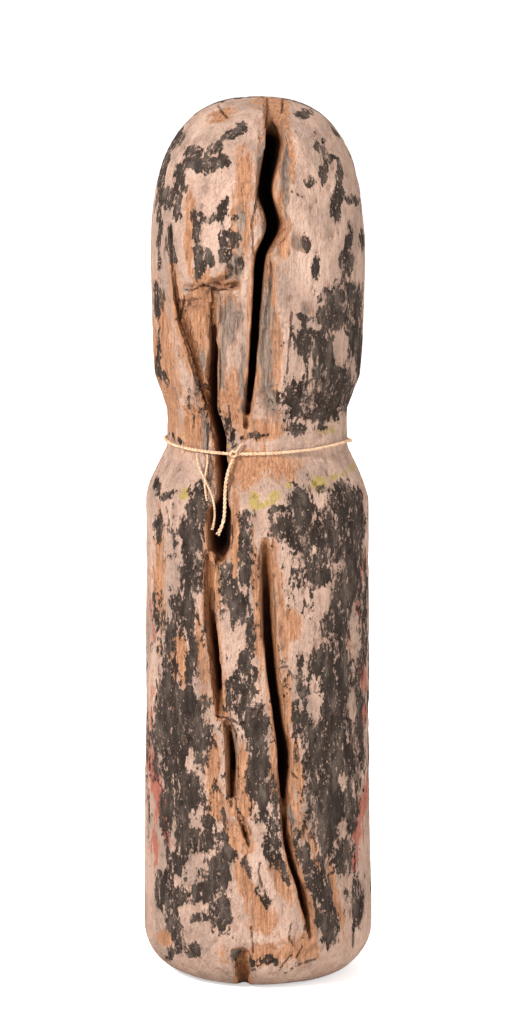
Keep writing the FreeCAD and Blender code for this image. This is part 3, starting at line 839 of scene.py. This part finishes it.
        relief = n.maths("ADD", n.maths("MULTIPLY", grain, 0.35), n.maths("MULTIPLY", fine, 0.55))
        relief = n.maths("ADD", relief, n.maths("MULTIPLY", flakes, 0.7))
        relief = n.maths("ADD", relief, n.maths("MULTIPLY", n.maths("MULTIPLY", streaks, bare_share), 0.7))
        relief = n.maths("ADD", relief, n.maths("MULTIPLY", black_share, 0.35))
        relief = n.maths("SUBTRACT", relief, n.maths("MULTIPLY", bare_share, 0.35))
        relief = n.maths("SUBTRACT", relief, n.maths("MULTIPLY", hair_share, 1.2))
        bump = n.add("Bump", {"Height": relief, "Strength": 1.0, "Distance": 0.005}).outputs[0]
        return n.finish(surface, 0.92, bump, **{"Specular IOR Level": 0.12})


@dataclass(frozen=True)
class PlantFibre:
    """Plain twisted plant fibre, pale and dusty."""

    light: str = "#E2BF9F"
    dark: str = "#B38D6D"

    def material(self) -> bpy.types.Material:
        """Pale fibres with darker dirt in random lumps.

        Returns:
            The material.
        """
        n = Nodes("twisted plant fibre")
        place = n.add("TexCoord").outputs["Object"]
        colour = n.ramp(n.lumps(place, (1.2, 1.2, 1.2), 3.0), (0.3, self.dark), (0.62, self.light))
        hairs = n.lumps(place, (0.25, 0.25, 0.25), 2.0)
        bump = n.add("Bump", {"Height": hairs, "Strength": 0.4, "Distance": 0.0001}).outputs[0]
        return n.finish(colour, 0.85, bump, **{"Specular IOR Level": 0.2})


# ---------------------------------------------------------------- the figure


@dataclass(frozen=True)
class FigureSizes:
    """The turned shape before wear, mm.

    Args: corners, the radius, height and rounding of each corner from the base to the jaw; head_radius,
        dome_foot, dome_fullness and top, the domed head, where a fullness of 2 is round and more is squarer.
    """

    corners: tuple = (
        (45.6, 0.0, 20.0), (44.4, 195.0, 26.0), (35.85, 212.0, 5.0), (35.85, 226.5, 8.0), (41.2, 241.5, 14.0),
    )
    head_radius: float = 42.2
    dome_foot: float = 285.0
    dome_fullness: float = 2.65
    top: float = 349.9
    voxel: float = 0.75
    most_triangles: int = 190000


class Figure:
    """The carved figure: one worn, split billet.

    Args: sizes, its turned shape; finish, its material.
    """

    def __init__(self, sizes: FigureSizes, finish: bpy.types.Material) -> None:
        """Takes the sizes and works out the outline."""
        self.sizes = sizes
        self.finish = finish
        self.grain = Grain(7)
        self.outline = self.rounded_outline()

    def rounded_outline(self) -> list[Vector]:
        """Draws the side outline, with rounded corners and a domed head.

        Returns:
            Points of radius and height, mm, from the base up.
        """
        sizes = self.sizes
        rows = [(0.0, 0.0, 0.0), *sizes.corners, (sizes.head_radius, sizes.dome_foot, 0.0)]
        points = [Vector(rows[0][:2])]
        for before, corner, after in zip(rows, rows[1:], rows[2:]):
            place = Vector(corner[:2])
            back = Vector(before[:2]) - place
            ahead = Vector(after[:2]) - place
            turn = math.pi - back.angle(ahead)
            cut = min(corner[2] * math.tan(turn / 2), 0.48 * min(back.length, ahead.length))
            radius = cut / math.tan(turn / 2)
            back.normalize()
            ahead.normalize()
            centre = place + (back + ahead).normalized() * (radius / math.cos(turn / 2))
            start = place + back * cut - centre
            end = place + ahead * cut - centre
            steps = max(3, int(turn * 12))
            start.normalize()
            end.normalize()
            points += [centre + start.slerp(end, step / steps) * radius for step in range(steps + 1)]
        for step in range(33):
            angle = math.pi / 2 * step / 32
            out = max(math.cos(angle), 0.0) ** (2 / sizes.dome_fullness) if step < 32 else 0.0
            up = math.sin(angle) ** (2 / sizes.dome_fullness)
            points.append(Vector((sizes.head_radius * out, sizes.dome_foot + (sizes.top - sizes.dome_foot) * up)))
        return points

    def radius_at(self, height: Values | float) -> Values:
        """Reads the turned radius.

        Args:
            height: heights, mm.

        Returns:
            The radius at each, mm.
        """
        side = self.outline[1:]
        return np.interp(height, [p.y for p in side], [p.x for p in side])

    def turned(self) -> bpy.types.Object:
        """Turns the billet to its outline.

        Returns:
            The billet.
        """
        bm = bmesh.new()
        previous = None
        for point in self.outline:
            vertex = bm.verts.new((point.x * MM, 0, point.y * MM))
            if previous:
                bm.edges.new((previous, vertex))
            previous = vertex
        bmesh.ops.spin(
            bm, geom=bm.verts[:] + bm.edges[:], cent=(0, 0, 0), axis=(0, 0, 1), angle=math.tau, steps=200,
            use_merge=True,
        )
        bmesh.ops.remove_doubles(bm, verts=bm.verts, dist=1e-6)
        return bm_object(bm, "carved_figure")

    def on_front(self, x: float, height: float) -> Values:
        """Finds the place on the front that is seen at a spot of the middle plane.

        Args:
            x: to the right of the middle, mm.
            height: above the base, mm.

        Returns:
            The place, mm.
        """
        eye = np.array(VIEWPOINT)
        y = -40.0
        for _ in range(12):
            share = (y - eye[1]) / -eye[1]
            place = eye + (np.array([x, 0.0, height]) - eye) * share
            radius = float(self.radius_at(min(max(place[2], 1.0), self.sizes.top - 0.5)))
            y = 0.5 * y - 0.5 * math.sqrt(max(radius**2 - place[0] ** 2, 16.0))
        return place

    def cutter(self, split: Split) -> bpy.types.Object:
        """Makes a split's wedge of air.

        Args:
            split: the split.

        Returns:
            The wedge.
        """
        rows = split.stations
        top, low = rows[0].height, rows[-1].height
        count = max(8, int((top - low) / 1.4))
        heights = np.linspace(top, low, count + 1)
        left, right = split.edges(heights)
        depth = split.at(heights, "depth")
        wander = np.stack([np.full(count + 1, top), np.full(count + 1, low), heights], 1)
        left = left + split.ragged * (self.grain.rough(wander, (9, 9, 5)) - 0.5) * 2
        right = right + split.ragged * (self.grain.rough(wander + 91, (9, 9, 5)) - 0.5) * 2
        bm = bmesh.new()
        around = 9
        bmesh.ops.create_grid(bm, x_segments=count, y_segments=around, size=1)
        for vertex in bm.verts:
            row = round((vertex.co.x + 1) / 2 * count)
            column = round((vertex.co.y + 1) / 2 * around) % around
            vertex.co = self.wedge_corner(split, column, heights[row], left[row], right[row], depth[row])
        bmesh.ops.remove_doubles(bm, verts=bm.verts, dist=1e-7)
        bmesh.ops.holes_fill(bm, edges=bm.edges, sides=0)
        bmesh.ops.triangulate(bm, faces=bm.faces)
        return bm_object(bm, split.name)

    def wedge_corner(
        self, split: Split, column: int, height: float, left: float, right: float, depth: float
    ) -> Vector:
        """Places one of nine corners of a wedge's section.

        Args:
            split: the split.
            column: which corner, 0 to 8.
            height: of the section, mm.
            left: edge of the mouth, mm.
            right: edge of the mouth, mm.
            depth: from mouth to heart, mm.

        Returns:
            The corner, in metres.
        """
        mouth_left = self.on_front(left, height)
        mouth_right = self.on_front(right, height)
        middle = (mouth_left + mouth_right) / 2
        half = (mouth_right - mouth_left) / 2
        inward = np.array([-middle[0] * split.turn, -middle[1], 0.0])
        inward = inward / np.linalg.norm(inward)
        mouth = (-9, 1 + split.flare * 3)
        wall = ((0, 1.0), (0.3, 0.86), (0.7, 0.55))
        steps = (mouth, *wall, (1, 0.0), *reversed(wall), mouth)
        reach, width = steps[column]
        side = -1 if column < 4 else 1
        travel = reach if reach < 0 else reach * depth
        return Vector((middle + side * width * half + inward * travel) * MM)

    def open_splits(self, figure: bpy.types.Object) -> None:
        """Cuts the splits into the billet.

        Args:
            figure: the billet.
        """
        for split in SPLITS:
            cutter = self.cutter(split)
            cut = figure.modifiers.new(split.name, "BOOLEAN")
            cut.object = cutter
            cut.operation = "DIFFERENCE"
            cut.solver = "MANIFOLD"
            before = len(figure.data.polygons)
            apply_modifiers(figure)
            LOG.info("%s: faces %d to %d", split.name, before, len(figure.data.polygons))
            bpy.data.objects.remove(cutter)

    def wear(self, figure: bpy.types.Object, whole: BVHTree) -> None:
        """Sinks the surface: tool marks, grain, broken and worn places. Nothing is raised.

        Args:
            figure: the split billet.
            whole: the billet before it was split.
        """
        mesh = figure.data
        places = mesh_places(mesh)
        normals = np.empty(len(mesh.vertices) * 3)
        mesh.vertices.foreach_get("normal", normals)
        normals = normals.reshape(-1, 3)
        depth = self.depth_below(places, whole)
        outer = 1 - smooth_step(1.5, 5.0, depth)
        x, height = sighted(places)
        front = smooth_step(0.0, 12.0, -places[:, 1])
        grain = self.grain
        sink = 1.5 * np.maximum(grain.at(places, (17, 17, 34)) - 0.4, 0)
        sink += 0.7 * np.maximum(grain.at(places + 40, (7, 7, 15)) - 0.4, 0)
        sink += 0.45 * grain.at(places + 80, (2.4, 2.4, 14)) + 0.8 * grain.rough(places + 17, (3.2, 3.2, 4.6), 2)
        pits = grain.at(places + 190, (2.2, 2.2, 3.5))
        sink += 0.9 * smooth_step(0.74, 0.92, pits) - 0.75
        bare = np.maximum(oval_field(x, height, BARE), oval_field(x, height, GREY))
        worn = smooth_step(-0.25, 0.35, bare) * front
        ridges = 1 - np.abs(2 * grain.rough(places + 3, (3.4, 3.4, 26), 3) - 1)
        sink += worn * (0.3 + 1.5 * ridges**2 * grain.at(places + 7, (5, 5, 9)))
        for hollow in HOLLOWS:
            reach = hollow.reach(x, height) + 0.5 * (grain.rough(places + 60, (4, 4, 9), 2) - 0.5)
            sink += hollow.strength * (1 - smooth_step(0.55, 1.1, reach)) * front
        # Below the knotty ledge on the head's left the wood has broken away.
        ledge = 276 + 3 * (grain.rough(places + 5, (5, 5, 40), 2) - 0.5) - height
        across = smooth_step(-31, -28, x) * (1 - smooth_step(-9, -5, x))
        sink += 2.2 * smooth_step(-0.5, 0.6, ledge) * (1 - 0.8 * smooth_step(2, 24, ledge)) * across * front
        # The cord's seat on the neck stays as turned, and so does the base's rim.
        seat = smooth_step(2.0, 6.0, np.abs(places[:, 2] - CORD_SEAT_HEIGHT))
        sink = np.maximum(sink, 0) * (0.35 + 0.65 * seat) * smooth_step(-4.0, 12.0, places[:, 2]) * outer
        places = places - normals * sink[:, None]
        places = self.lean_left(places)
        place_vertices(mesh, places)

    def lean_left(self, places: Values) -> Values:
        """Sets the wood's middle a little to the left, by taking it from the right side.

        Args:
            places: of the surface, mm.

        Returns:
            The moved places, mm.
        """
        heights, shifts = [30, 60, 200, 215, 240, 270], [0, 0.3, 0.3, 0.2, 0.2, 0]
        shift = np.interp(places[:, 2], heights, shifts)
        radius = np.maximum(self.radius_at(places[:, 2]), 20)
        moved = places.copy()
        moved[:, 0] = places[:, 0] * (1 - shift / radius) - shift
        return moved

    def depth_below(self, places: Values, whole: BVHTree) -> Values:
        """Measures how deep each place lies below the turned surface.

        Args:
            places: of the surface, mm.
            whole: the billet before it was split.

        Returns:
            The depths, mm.
        """
        deep = np.empty(len(places))
        for number, place in enumerate(places * MM):
            deep[number] = whole.find_nearest(place)[3]
        return deep / MM

    def paint(self, figure: bpy.types.Object, whole: BVHTree) -> None:
        """Writes the paint fields onto the mesh.

        Args:
            figure: the worn figure.
            whole: the billet before it was split.
        """
        mesh = figure.data
        places = mesh_places(mesh)
        x, height = sighted(places)
        front = smooth_step(-2.0, 6.0, -places[:, 1])
        grain = self.grain
        size = {
            Paint.BLACK: (24, 24, 40), Paint.BARE: (16, 16, 60), Paint.GREY: (14, 14, 70), Paint.YELLOW: (9, 9, 6),
            Paint.RED: (16, 16, 50),
        }
        share = {Paint.BLACK: 0.54, Paint.BARE: 0.6, Paint.GREY: 0.68, Paint.YELLOW: 0.86, Paint.RED: 0.74}
        ovals = {Paint.BLACK: BLACK, Paint.BARE: BARE, Paint.GREY: GREY, Paint.YELLOW: YELLOW, Paint.RED: RED}
        bent_x = x + 2.6 * (grain.rough(places + 7, (4, 4, 6), 3) - 0.5)
        bent_height = height + 5 * (grain.rough(places + 71, (5, 5, 8), 3) - 0.5)
        for number, paint in enumerate(Paint):
            seen = oval_field(bent_x, bent_height, ovals[paint])
            around = (grain.rough(places + 29 * (number + 1), size[paint], 3) - share[paint]) * 3
            if paint is Paint.BLACK:
                loose = 1.6 * grain.rough(places + 11, (9, 9, 22), 3) - 1.12
                on_body = smooth_step(14, 40, height) * (1 - smooth_step(186, 197, height))
                seen = np.maximum(seen + 0.08, loose - 0.5 * (1 - on_body))
                bared = oval_field(bent_x, bent_height, BARE)
                seen = np.where(on_body > 0.1, np.minimum(seen, 0.5 - 1.6 * np.maximum(bared, 0)), seen)
                up = places[:, 2] + 16 * (grain.rough(places + 33, (12, 12, 12), 3) - 0.5)
                neck = smooth_step(190, 206, up) * (1 - smooth_step(216, 230, up))
                around -= 1.5 * (1 - smooth_step(8, 34, up)) + 1.2 * neck
            self.write(mesh, paint.value, np.clip(seen * front + around * (1 - front), -1, 1))
        # Depth below the turned surface. The finish paints shade into the splits from it, less near the crown.
        deep = self.depth_below(places, whole)
        deep = deep * (1 - 0.85 * smooth_step(331, 338, height))
        lip = np.full(len(x), 9.0)
        for split in SPLITS:
            rows = split.stations
            left, right = split.edges(height)
            past = np.maximum(rows[-1].height - height, height - rows[0].height)
            away = np.maximum(np.maximum(left - x, x - right), past * 1.5)
            lip = np.minimum(lip, np.maximum(away, 0))
        lip = np.where(places[:, 1] < 0, lip, 9.0)
        self.write(mesh, "lip", lip)
        in_split = 1 - smooth_step(0.2, 1.0, lip)
        self.write(mesh, "depth", np.clip(deep - 4.4 + 2.9 * in_split, 0, 40))
        fine = np.full(len(x), 5.0)
        for line in HAIRLINES:
            fine = np.minimum(fine, line_distance(x, height, line))
        fine = np.where(places[:, 1] < 0, fine, 5.0)
        self.write(mesh, "hairline", fine)

    @staticmethod
    def write(mesh: bpy.types.Mesh, name: str, values: Values) -> None:
        """Adds one field to a mesh, a value for each vertex."""
        mesh.attributes.new(name, "FLOAT", "POINT").data.foreach_set("value", values.astype(np.float32))

    def build(self) -> bpy.types.Object:
        """Makes the piece.

        Returns:
            The finished figure.
        """
        figure = self.turned()
        corners = [v.co.copy() for v in figure.data.vertices]
        whole = BVHTree.FromPolygons(corners, [tuple(p.vertices) for p in figure.data.polygons])
        self.open_splits(figure)
        remesh = figure.modifiers.new("even mesh", "REMESH")
        remesh.mode = "VOXEL"
        remesh.voxel_size = self.sizes.voxel * MM
        apply_modifiers(figure)
        self.wear(figure, whole)
        triangles = sum(len(p.vertices) - 2 for p in figure.data.polygons)
        if triangles > self.sizes.most_triangles:
            thin = figure.modifiers.new("fewer faces", "DECIMATE")
            thin.ratio = self.sizes.most_triangles / triangles
            apply_modifiers(figure)
        self.paint(figure, whole)
        figure.data.shade_smooth()
        figure.data.materials.clear()
        figure.data.materials.append(self.finish)
        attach(figure, "figure")
        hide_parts("wood_figure")
        report(figure)
        return figure


# ---------------------------------------------------------------- the cord


@dataclass(frozen=True)
class Strand:
    """One length of the cord.

    Args: name; diameter, mm; plies; pitch, mm for one turn of the plies; route, mm.
    """

    name: str
    diameter: float
    plies: int
    pitch: float
    route: tuple


RIGHT_TAIL = Strand("cord_tail_right", 1.4, 2, 3.2, (
    (-9.7, -36.4, 212.2), (-11.0, -37.1, 209.5), (-12.2, -39.0, 205.4), (-12.8, -41.2, 200.8), (-12.9, -43.1, 196.2),
    (-13.0, -44.2, 191.5), (-13.8, -44.5, 187.2), (-15.7, -44.1, 183.6)))
LEFT_TAIL = Strand("cord_tail_left", 0.9, 2, 2.2, (
    (-23.9, -27.9, 213.1), (-23.8, -29.7, 210.5), (-22.4, -33.8, 206.9), (-20.0, -37.4, 202.8), (-17.8, -40.4, 198.2),
    (-16.8, -42.4, 193.4), (-16.9, -43.2, 188.8), (-17.8, -43.1, 185.4)))
SHORT_END = Strand("cord_short_end", 0.9, 2, 2.2, (
    (-19.8, -30.9, 213.1), (-19.5, -31.8, 210.7), (-20.2, -33.3, 207.4), (-20.8, -35.1, 203.6), (-20.6, -37.7, 199.6),
    (-19.9, -39.7, 196.2)))


@dataclass(frozen=True)
class CordMaker:
    """Twists and places the cord's pieces, mm.

    Args: finish, the fibre's material; ring_radius; knot_place; diameter, pitch and plies of the tied cord;
        knot_diameter and stub_diameter; rises, how the ring rises and falls at turns in radians from the front.
    """

    finish: bpy.types.Material
    ring_radius: float = 36.7
    knot_place: Place = (-9.605, -36.35, CORD_SEAT_HEIGHT)
    diameter: float = 1.4
    pitch: float = 3.2
    plies: int = 2
    knot_diameter: float = 1.1
    stub_diameter: float = 0.8
    rises: tuple[tuple[float, float], ...] = (
        (0, 0), (1.0, 1.1), (1.3, 1.2), (1.75, -1.1), (2.4, -0.6), (4.2, 0), (4.9, 0.9), (5.6, 0.1), (6.0, -0.2),
        (math.tau, 0),
    )

    def curve_points(self, points: list | tuple) -> Values:
        """Draws a smooth curve along a route.

        Args:
            points: the route, mm.

        Returns:
            Even points along it, mm.
        """
        curve = bpy.data.curves.new("route", "CURVE")
        curve.dimensions = "3D"
        curve.resolution_u = 14
        spline = curve.splines.new("NURBS")
        spline.points.add(len(points) - 1)
        for place, point in zip(spline.points, points):
            place.co = (*(c * MM for c in point), 1)
        spline.order_u = 3
        spline.use_endpoint_u = True
        item = bpy.data.objects.new("route", curve)
        bpy.context.scene.collection.objects.link(item)
        mesh = bpy.data.meshes.new_from_object(item)
        line = mesh_places(mesh)
        bpy.data.objects.remove(item)
        bpy.data.meshes.remove(mesh)
        lengths = np.concatenate([[0], np.cumsum(np.linalg.norm(np.diff(line, axis=0), axis=1))])
        keep = np.concatenate([[True], np.diff(lengths) > 1e-6])
        lengths, line = lengths[keep], line[keep]
        steps = np.linspace(0, lengths[-1], max(8, int(lengths[-1] / 0.3)))
        return np.stack([np.interp(steps, lengths, line[:, axis]) for axis in range(3)], 1)

    def twist(
        self, name: str, line: Values, diameter: float, plies: int, pitch: float, fray: float = 0.0
    ) -> bpy.types.Object:
        """Winds plies round a line.

        Args:
            name: the piece's name.
            line: its points, mm.
            diameter: over the plies, mm.
            plies: how many.
            pitch: mm for one turn.
            fray: how far the end opens.

        Returns:
            The piece.
        """
        run = np.gradient(line, axis=0)
        run /= np.linalg.norm(run, axis=1)[:, None]
        side = np.cross(run, np.array([0.31, 0.11, 0.94]))
        side /= np.linalg.norm(side, axis=1)[:, None]
        up = np.cross(run, side)
        length = np.concatenate([[0], np.cumsum(np.linalg.norm(np.diff(line, axis=0), axis=1))])
        offset = diameter * 0.235
        curve = bpy.data.curves.new(name, "CURVE")
        curve.dimensions = "3D"
        curve.bevel_depth = diameter * 0.265 * MM
        curve.bevel_resolution = 2
        curve.use_fill_caps = True
        for ply in range(plies):
            angle = math.tau * (length / pitch + ply / plies)
            spread = offset * (1 + fray * smooth_step(length[-1] - 4, length[-1], length))
            path = line + side * (spread * np.cos(angle))[:, None] + up * (spread * np.sin(angle))[:, None]
            spline = curve.splines.new("POLY")
            spline.points.add(len(path) - 1)
            spline.points.foreach_set("co", np.concatenate([path * MM, np.ones((len(path), 1))], 1).ravel())
        item = bpy.data.objects.new(name, curve)
        bpy.context.scene.collection.objects.link(item)
        mesh = bpy.data.meshes.new_from_object(item)
        bpy.data.objects.remove(item)
        made = bpy.data.objects.new(name, mesh)
        bpy.context.scene.collection.objects.link(made)
        mesh.shade_smooth()
        mesh.materials.clear()
        mesh.materials.append(self.finish)
        return made

    def ring(self) -> bpy.types.Object:
        """Ties the cord round the neck, a little slack in the front.

        Returns:
            The ring.
        """
        turns = np.linspace(0, math.tau, 900)
        angle = turns - math.pi / 2
        x, y = np.cos(angle), np.sin(angle)
        rise = np.interp(turns, *zip(*self.rises))
        line = np.stack([self.ring_radius * x, self.ring_radius * y, CORD_SEAT_HEIGHT + rise], 1)
        made = self.twist("twisted_neck_cord", line, self.diameter, self.plies, self.pitch)
        return self.settle(made, "neck_loop", "neck_cord")

    def knot(self) -> bpy.types.Object:
        """Ties the overhand knot: one small tight turn of the cord.

        Returns:
            The knot.
        """
        centre = np.array(self.knot_place)
        steps = np.linspace(0, math.tau * 1.6, 60)
        loop = np.stack([1.25 * np.cos(steps), -0.55 + 0.5 * np.sin(steps * 0.6), 1.0 * np.sin(steps)], 1)
        made = self.twist("tied_knot", centre + loop, self.knot_diameter, self.plies, 3.0)
        return self.settle(made, "neck_loop", "cord_knot")

    def stub(self) -> bpy.types.Object:
        """Leaves the knot's short cut end, up to the right.

        Returns:
            The stub.
        """
        centre = np.array(self.knot_place)
        steps = ((0.4, -0.7, 0.4), (1.6, -0.8, 1.7), (2.6, -0.5, 3.2), (4.0, -0.3, 4.2))
        line = self.curve_points([centre + np.array(step) for step in steps])
        made = self.twist("tied_knot_stub", line, self.stub_diameter, self.plies, 2.0, 0.5)
        return self.settle(made, "neck_loop")

    def settle(self, made: bpy.types.Object, body: str, node: str | None = None) -> bpy.types.Object:
        """Hands a finished piece to the frame.

        Args:
            made: the piece.
            body: the body it moves with.
            node: the node it stands for, if any.

        Returns:
            The same piece.
        """
        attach(made, body)
        if node:
            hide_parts(node)
        report(made)
        return made

    def hang(self, strand: Strand, body: str, fray: float = 0.0) -> tuple[bpy.types.Object, Values]:
        """Hangs one strand.

        Args:
            strand: its sizes and route.
            body: the body it moves with.
            fray: how far its end opens.

        Returns:
            The piece, and its line in metres.
        """
        line = self.curve_points(strand.route)
        made = self.twist(f"twisted_{strand.name}", line, strand.diameter, strand.plies, strand.pitch, fray)
        self.settle(made, body, strand.name)
        return made, line * MM

    def build(self) -> None:
        self.ring()
        self.knot()
        self.stub()
        right, right_line = self.hang(RIGHT_TAIL, "right_tail", 0.6)
        left, left_line = self.hang(LEFT_TAIL, "left_strands", 0.9)
        short, _ = self.hang(SHORT_END, "left_strands")


# ---------------------------------------------------------------- the studio


@dataclass(frozen=True)
class Lamp:
    """One soft square lamp, metres and watts.

    Args: name; place; target, the point it faces; size, its side; power.
    """

    name: str
    place: Place
    target: Place
    size: float
    power: float


@dataclass(frozen=True)
class Studio:
    """White floor and backdrop, soft light, and the viewer's camera.

    Args: fill, the strength of the light all round; paper_glow, what lifts the floor to white; lamps.
    """

    fill: float = 0.6
    paper_glow: float = 0.55
    lamps: tuple[Lamp, ...] = (
        Lamp("key", (-1.1, -1.4, 1.3), (0, 0, 0.2), 0.35, 52),
        Lamp("side", (1.5, -0.9, 0.7), (0, 0, 0.17), 0.8, 10),
        Lamp("top", (0.1, 0.3, 1.7), (0, 0, 0.2), 1.2, 12),
    )

    def floor(self) -> None:
        """Lays a wide pale floor."""
        bm = bmesh.new()
        bmesh.ops.create_grid(bm, x_segments=1, y_segments=1, size=12)
        made = bm_object(bm, "floor")
        n = Nodes("white paper")
        paper = n.finish(linear("#F4F2F0"), 1.0, **{"Specular IOR Level": 0.0})
        n.lift_for_viewer(self.paper_glow)
        made.data.materials.append(paper)

    def world(self) -> None:
        """Sets an even pale light all round, white behind the figure."""
        world = bpy.data.worlds.new("studio")
        world.use_nodes = True
        bpy.context.scene.world = world
        tree = world.node_tree
        tree.nodes.clear()
        output = tree.nodes.new("ShaderNodeOutputWorld")
        fill = tree.nodes.new("ShaderNodeBackground")
        fill.inputs[1].default_value = self.fill
        fill.inputs[0].default_value = (1.0, 1.0, 1.0, 1)
        seen = tree.nodes.new("ShaderNodeBackground")
        seen.inputs[1].default_value = 1.0
        seen.inputs[0].default_value = (1, 1, 1, 1)
        path = tree.nodes.new("ShaderNodeLightPath")
        mix = tree.nodes.new("ShaderNodeMixShader")
        tree.links.new(path.outputs["Is Camera Ray"], mix.inputs[0])
        tree.links.new(fill.outputs[0], mix.inputs[1])
        tree.links.new(seen.outputs[0], mix.inputs[2])
        tree.links.new(mix.outputs[0], output.inputs[0])

    def light(self, lamp: Lamp) -> None:
        """Puts up one lamp.

        Args:
            lamp: its sizes and place.
        """
        data = bpy.data.lights.new(lamp.name, "AREA")
        data.shape = "SQUARE"
        data.size = lamp.size
        data.energy = lamp.power
        made = bpy.data.objects.new(lamp.name, data)
        made.location = lamp.place
        made.rotation_euler = (Vector(lamp.target) - Vector(lamp.place)).to_track_quat("-Z", "Y").to_euler()
        bpy.context.scene.collection.objects.link(made)

    def camera(self) -> None:
        """Stands the camera at the viewpoint."""
        data = bpy.data.cameras.new("camera")
        data.sensor_fit = "AUTO"
        data.sensor_width = 24
        data.lens = LENS
        made = bpy.data.objects.new("camera", data)
        made.location = Vector(VIEWPOINT) * MM
        aim = Vector((0, 0, AIM_HEIGHT * MM)) - made.location
        made.rotation_euler = aim.to_track_quat("-Z", "Y").to_euler()
        data.clip_start = 0.05
        data.clip_end = 50
        bpy.context.scene.collection.objects.link(made)
        bpy.context.scene.camera = made

    def build(self) -> None:
        """Sets the studio up."""
        self.floor()
        self.world()
        for lamp in self.lamps:
            self.light(lamp)
        self.camera()
        bpy.context.scene.view_settings.view_transform = "Standard"


def main() -> None:
    """Builds the looks in order."""
    logging.basicConfig(level=logging.INFO, format="%(name)s: %(message)s", force=True)
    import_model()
    Figure(FigureSizes(), WornWood().material()).build()
    CordMaker(PlantFibre().material()).build()
    Studio().build()


if __name__ == "__main__":
    main()
